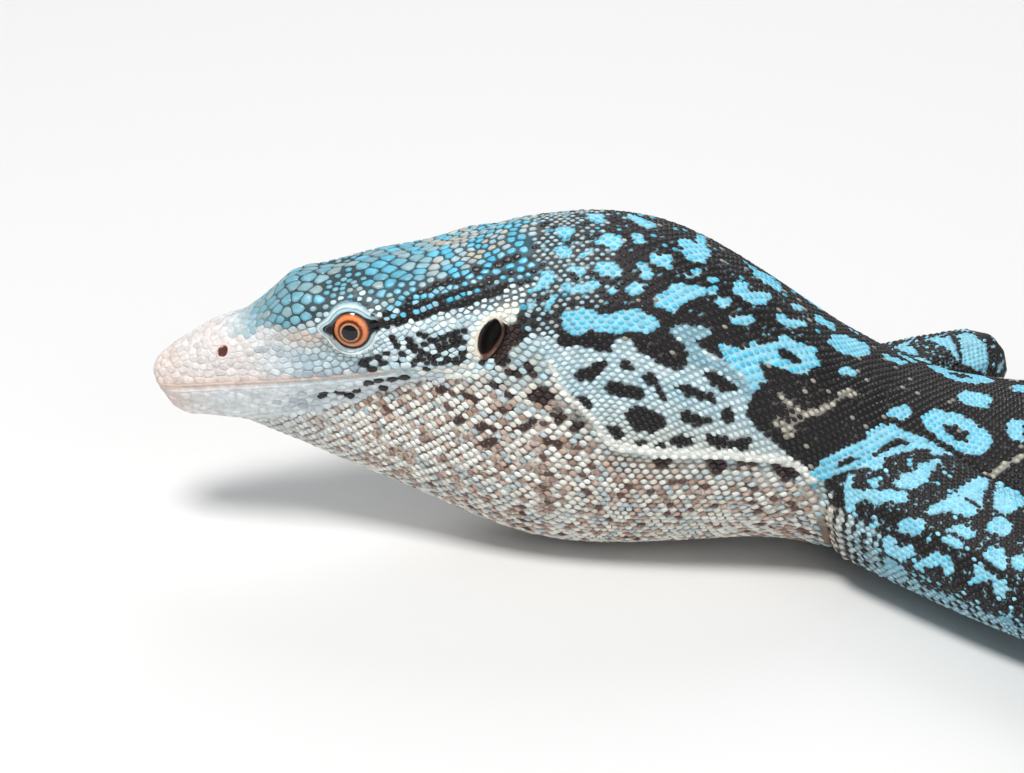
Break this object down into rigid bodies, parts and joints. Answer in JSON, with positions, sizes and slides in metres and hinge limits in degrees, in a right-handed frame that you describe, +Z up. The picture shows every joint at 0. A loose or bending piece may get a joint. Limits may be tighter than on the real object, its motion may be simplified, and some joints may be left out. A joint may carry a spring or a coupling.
{
  "type": "blue-spotted tree monitor lizard",
  "caption": "Life-size still model of a blue-spotted tree monitor lying low, head raised, throat puffed out, legs spread and a long slender tail.",
  "frame": {"origin": "middle of the bottom of the bounding box, on the floor under the body", "axes": "+Z up, the snout points along -X, the animal's left side faces -Y"},
  "size_m": [0.9506, 0.2226, 0.0602],
  "materials": {
    "scaly_skin": "satin black-brown scales with turquoise spots",
    "throat_skin": "satin cream-white scales on reddish skin, blotched dark on the sides",
    "snout_skin": "smooth satin plates, cream on the snout and blue-grey on the crown",
    "eye": "wet gloss, orange iris round a black pupil",
    "claw": "smooth dark horn"
  },
  "bodies": {
    "root": {"head": "snout_skin", "neck": "throat_skin", "torso": "scaly_skin", "tail_root": "scaly_skin", "tail_front": "scaly_skin", "tail_middle": "scaly_skin", "tail_rear": "scaly_skin", "tail_tip": "scaly_skin", "eye_left": "eye", "eye_right": "eye", "fore_left_upper": "scaly_skin", "fore_left_lower": "scaly_skin", "fore_left_foot": "scaly_skin", "fore_right_upper": "scaly_skin", "fore_right_lower": "scaly_skin", "fore_right_foot": "scaly_skin", "hind_left_upper": "scaly_skin", "hind_left_lower": "scaly_skin", "hind_left_foot": "scaly_skin", "hind_right_upper": "scaly_skin", "hind_right_lower": "scaly_skin", "hind_right_foot": "scaly_skin"}
  },
  "joints": []
}
